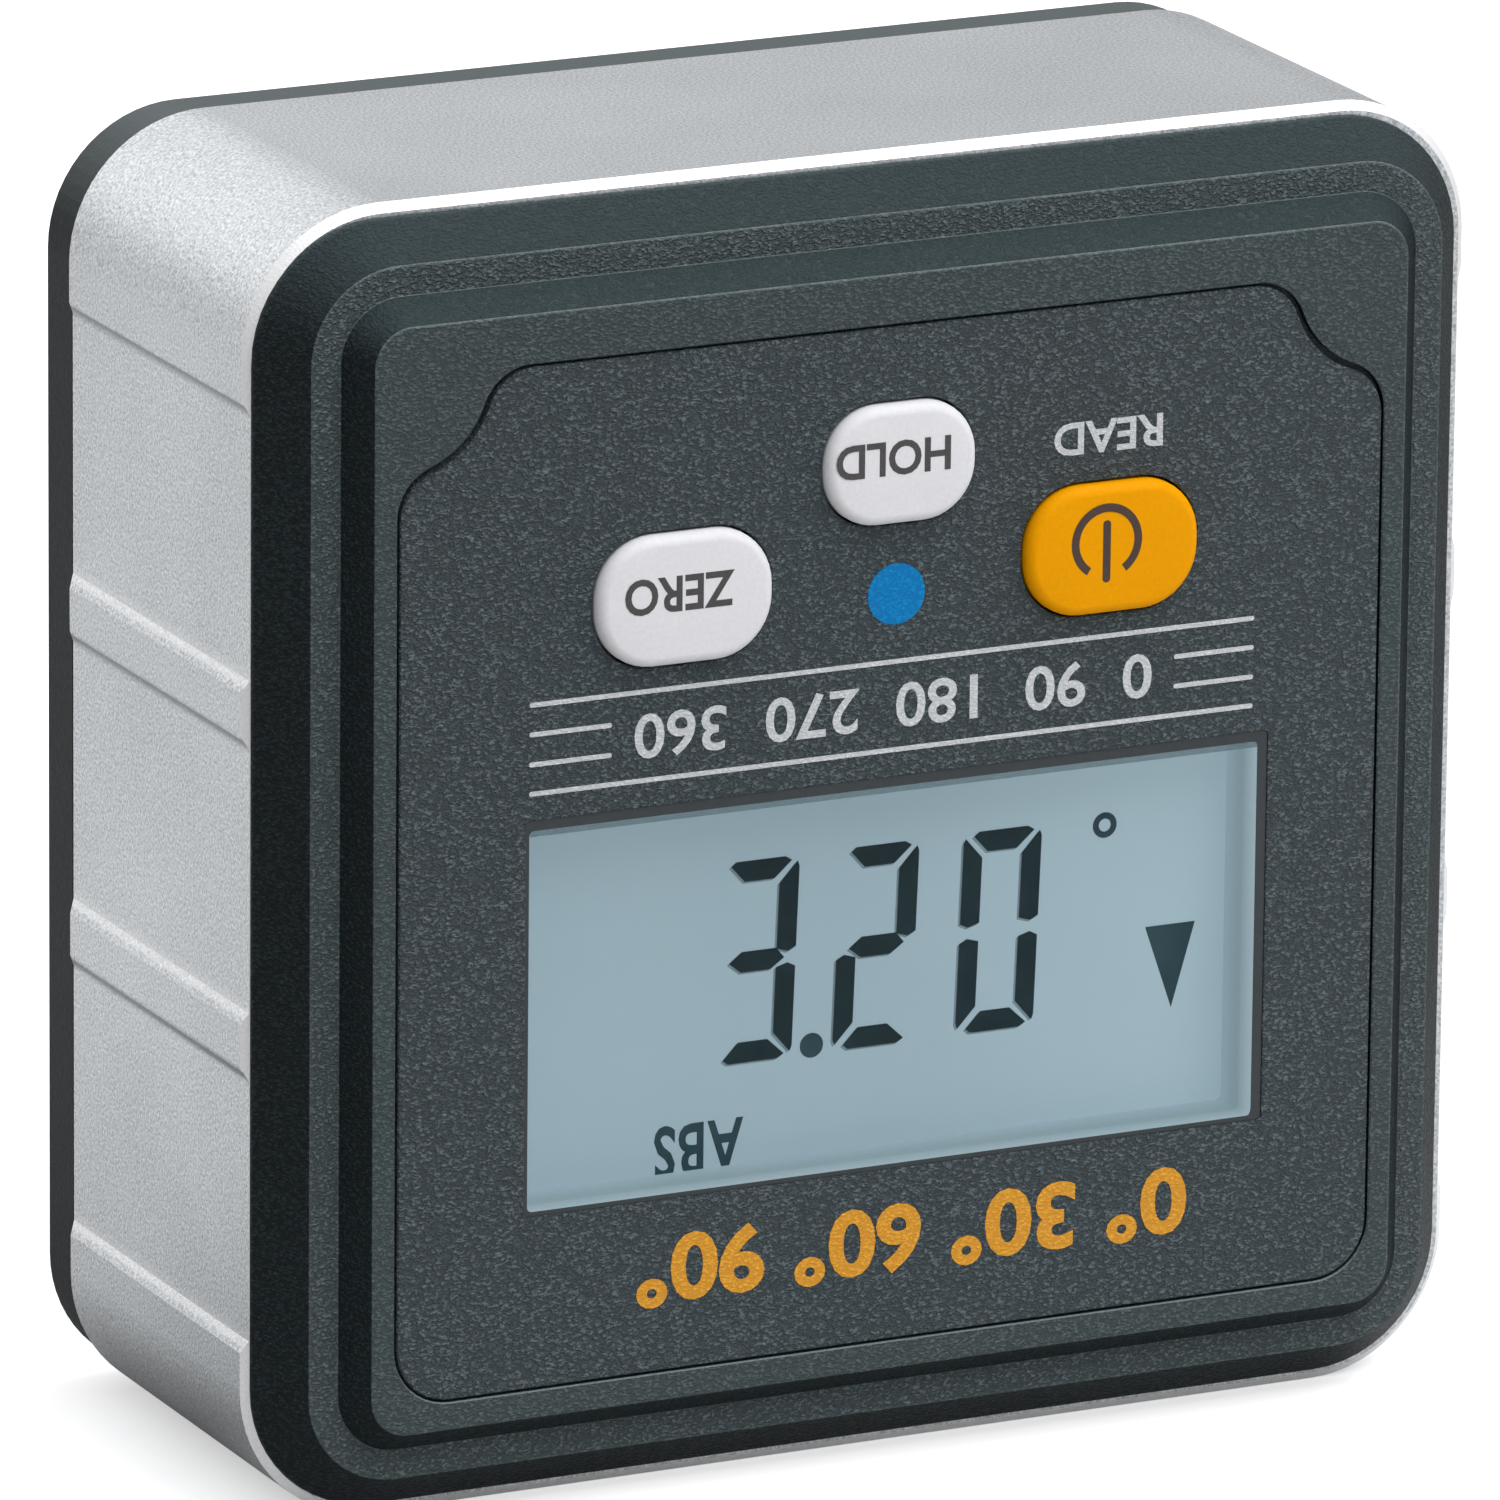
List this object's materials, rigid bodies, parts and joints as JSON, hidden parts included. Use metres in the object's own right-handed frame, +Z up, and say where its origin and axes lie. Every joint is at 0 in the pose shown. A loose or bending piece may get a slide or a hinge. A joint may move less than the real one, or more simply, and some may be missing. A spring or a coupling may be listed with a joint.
{
  "type": "digital angle gauge",
  "caption": "Square digital angle gauge: anodised aluminium frame, dark stepped front cover with display and keys, rear cover with sliding battery door.",
  "frame": {"origin": "middle of the lower face that the gauge stands on, half way through its depth", "axes": "+X to the right as seen from the display, +Y from the display to the battery side, +Z up as the gauge stands"},
  "size_m": [0.06, 0.0276, 0.06],
  "materials": {
    "anodised_frame": "bead blasted and clear anodised, bright cut chamfer",
    "dark_plastic": "fine moulded texture",
    "overlay_film": "leather-grain texture with pale print",
    "clear_lens": "clear and smooth with a dark border",
    "lcd_cell": "pale grey-blue reflective display",
    "milky_plastic": "diffusing",
    "black_rubber": "matt",
    "white_key": "satin",
    "orange_key": "satin",
    "black_plastic": "matt",
    "spring_steel": "plated",
    "board": "solder mask",
    "battery_jacket": "plain dark jacket",
    "plated_magnet": "nickel plated"
  },
  "bodies": {
    "gauge": {"frame": "anodised_frame", "front_cover": "dark_plastic", "overlay": "overlay_film", "lcd_window": "clear_lens", "lcd_glass": "lcd_cell", "light_guide": "milky_plastic", "zebra_strips": "black_rubber", "switch_bodies": "spring_steel", "pcb": "board", "pcb_screws": "spring_steel", "microcontroller": "black_plastic", "tilt_sensor": "black_plastic", "radio_module": "spring_steel", "rear_cover": "dark_plastic", "battery_upper": "battery_jacket", "battery_lower": "battery_jacket", "contact_link": "spring_steel", "contact_positive": "spring_steel", "contact_negative": "spring_steel", "magnets": "plated_magnet", "front_seal": "black_rubber", "rear_seal": "black_rubber", "case_screws": "spring_steel"},
    "zero_key": {"key_zero": "white_key", "plunger_zero": "black_plastic"},
    "hold_key": {"key_hold": "white_key", "plunger_hold": "black_plastic"},
    "power_key": {"key_power": "orange_key", "plunger_power": "black_plastic"},
    "door": {"battery_door": "dark_plastic"}
  },
  "joints": [
    {"name": "zero_press", "type": "slide", "parent": "gauge", "child": "zero_key", "axis": [0, 1, 0], "range_m": [0, 0.0004], "stiffness_N_per_m": 1500},
    {"name": "hold_press", "type": "slide", "parent": "gauge", "child": "hold_key", "axis": [0, 1, 0], "range_m": [0, 0.0004], "stiffness_N_per_m": 1500},
    {"name": "power_press", "type": "slide", "parent": "gauge", "child": "power_key", "axis": [0, 1, 0], "range_m": [0, 0.0004], "stiffness_N_per_m": 1500},
    {"name": "door_slide", "type": "slide", "parent": "gauge", "child": "door", "axis": [1, 0, 0], "range_m": [0, 0.008]}
  ]
}
